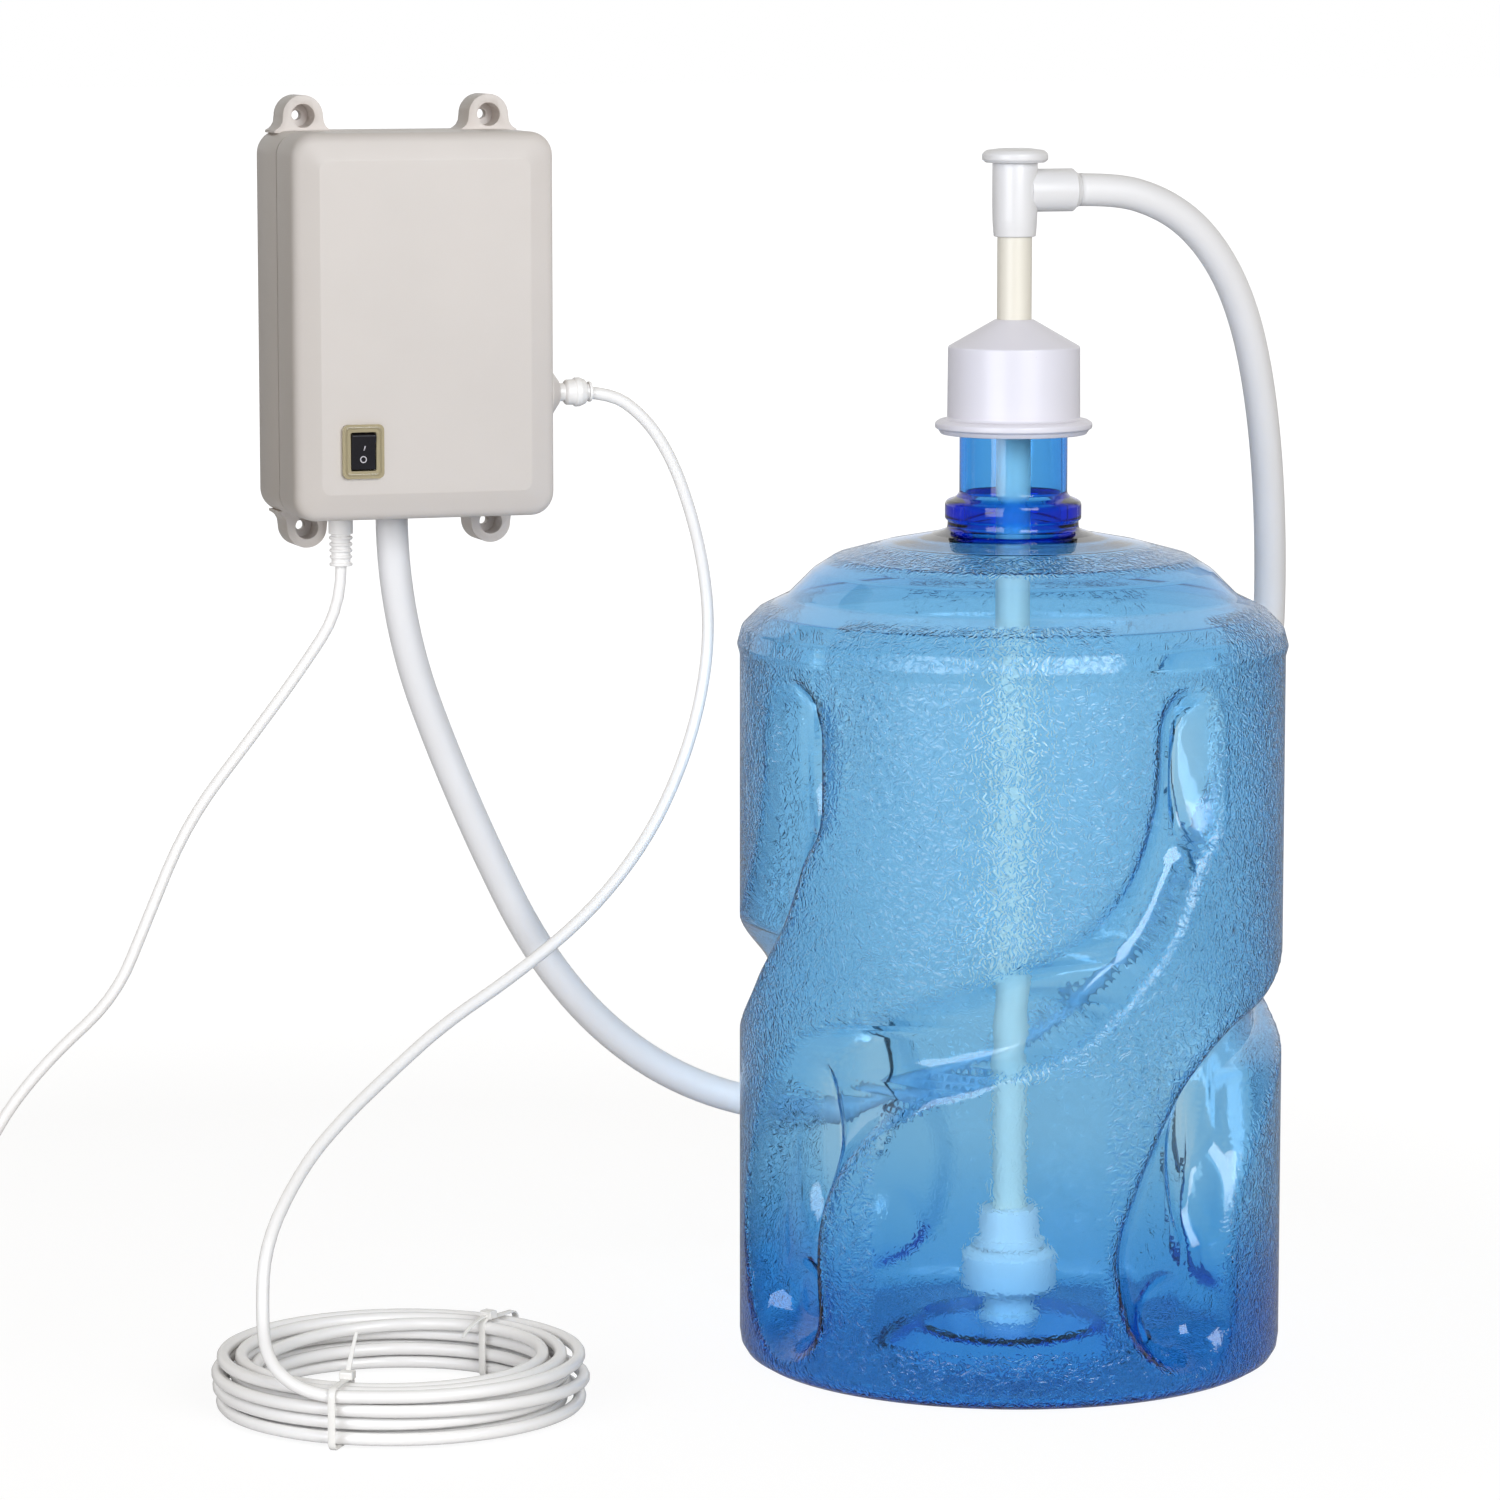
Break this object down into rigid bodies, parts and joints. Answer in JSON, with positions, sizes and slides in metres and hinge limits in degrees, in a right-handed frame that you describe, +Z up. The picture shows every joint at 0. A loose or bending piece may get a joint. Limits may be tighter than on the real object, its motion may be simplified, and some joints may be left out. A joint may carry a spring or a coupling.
{
  "type": "bottled water pump system",
  "caption": "Wall-mounted diaphragm pump case with rocker switch, suction hose and wand standing in a blue water bottle, coiled outlet tube and mains lead.",
  "frame": {"origin": "centre of the four wall-screw holes, on the wall", "axes": "+Z up, -Y out of the wall towards the user, +X to the right as one faces the wall"},
  "size_m": [0.9013, 0.3195, 0.6405],
  "materials": {
    "case_plastic": "moulded warm grey ABS, fine texture",
    "seal_rubber": "soft grey seal",
    "steel_zinc": "zinc-plated steel",
    "switch_clear": "glossy switch frame",
    "switch_black": "black nylon",
    "brass_tab": "plated brass tabs",
    "motor_steel": "drawn steel can",
    "pump_black": "glass-filled nylon",
    "magnet_ferrite": "ferrite",
    "bronze_bush": "sintered bronze",
    "copper_wound": "laminated core with copper wire",
    "pump_rubber": "black rubber",
    "post_white": "nylon",
    "hose_white": "white vinyl hose",
    "board_green": "glass-fibre circuit board",
    "core_steel": "laminated core",
    "can_black": "sleeved capacitor cans",
    "fitting_white": "white acetal",
    "lead_white": "white PVC lead",
    "bottle_blue": "clear blue polycarbonate",
    "cap_white": "white polyethylene cap",
    "wand_cream": "cream polypropylene tube",
    "wand_white": "white polypropylene",
    "float_white": "foamed polypropylene",
    "ball_steel": "stainless ball",
    "tube_white": "white polyethylene tube"
  },
  "bodies": {
    "root": {"back_shell": "case_plastic", "front_cover": "case_plastic", "cover_gasket": "seal_rubber", "cover_screws": "steel_zinc", "switch_frame": "switch_clear", "switch_terminals": "brass_tab", "motor_can": "motor_steel", "motor_end_cap": "pump_black", "motor_magnets": "magnet_ferrite", "motor_bushes": "bronze_bush", "pump_housing": "pump_black", "diaphragm": "pump_rubber", "valve_plate": "post_white", "pump_head": "pump_black", "pump_screws": "steel_zinc", "pump_bracket": "steel_zinc", "pump_feet": "pump_rubber", "inlet_hose": "hose_white", "outlet_hose": "hose_white", "pressure_switch": "switch_black", "plunger_spring": "steel_zinc", "power_board": "board_green", "board_posts": "post_white", "transformer": "core_steel", "capacitors": "can_black", "outlet_fitting": "fitting_white", "outlet_locknut": "fitting_white", "suction_gland": "fitting_white", "strain_relief": "lead_white", "water_bottle": "bottle_blue", "suction_hose": "hose_white", "outlet_tube": "tube_white", "power_cord": "lead_white", "outlet_tube_coil": "tube_white", "power_cord_coil": "lead_white", "tube_tie_front": "post_white", "tube_tie_back": "post_white", "cord_tie": "post_white", "plug_body": "lead_white", "plug_blades": "brass_tab"},
    "rocker": {"switch_rocker": "switch_black"},
    "collet": {"outlet_collet": "fitting_white"},
    "wand": {"wand_tube": "wand_cream", "tee_head": "wand_white", "tee_plug": "wand_white", "foot_sleeve": "wand_white", "float_chamber": "wand_white", "reed_stem": "post_white", "foot_strainer": "wand_white"},
    "cap": {"bottle_cap": "cap_white", "cap_seal": "seal_rubber"},
    "float": {"float_ring": "float_white"},
    "ball": {"check_ball": "ball_steel"},
    "rotor": {"motor_rotor": "copper_wound", "wobble_hub": "steel_zinc"},
    "wobble": {"wobble_plate": "pump_black", "wobble_bearing": "steel_zinc"},
    "plunger": {"pressure_plunger": "post_white"}
  },
  "joints": [
    {"name": "rocker_tilt", "type": "hinge", "parent": "root", "child": "rocker", "pos_m": [-0.034, -0.075, -0.062], "axis": [1, 0, 0], "range_deg": [-14, 0]},
    {"name": "collet_push", "type": "slide", "parent": "root", "child": "collet", "axis": [-1, 0, 0], "range_m": [0, 0.0015], "stiffness_N_per_m": 400},
    {"name": "wand_lift", "type": "slide", "parent": "root", "child": "wand", "axis": [0, 0, 1], "range_m": [0, 0.49], "deforming": ["suction_hose"]},
    {"name": "cap_slide", "type": "slide", "parent": "wand", "child": "cap", "axis": [0, 0, 1], "range_m": [0, 0.038]},
    {"name": "float_rise", "type": "slide", "parent": "wand", "child": "float", "axis": [0, 0, 1], "range_m": [0, 0.008]},
    {"name": "ball_lift", "type": "slide", "parent": "wand", "child": "ball", "axis": [0, 0, 1], "range_m": [0, 0.003]},
    {"name": "motor_turn", "type": "hinge", "parent": "root", "child": "rotor", "pos_m": [0.014, -0.04, -0.006], "axis": [0, 0, 1], "continuous": true},
    {"name": "wobble_turn", "type": "hinge", "parent": "rotor", "child": "wobble", "pos_m": [0.014, -0.04, -0.006], "axis": [0.1045, 0, 0.9945], "continuous": true},
    {"name": "plunger_travel", "type": "slide", "parent": "root", "child": "plunger", "axis": [0, 0, -1], "range_m": [0, 0.001], "stiffness_N_per_m": 500, "deforming": ["plunger_spring"]}
  ],
  "couplings": [
    {"joint": "wobble_turn", "follows": "motor_turn", "ratio": -1}
  ]
}
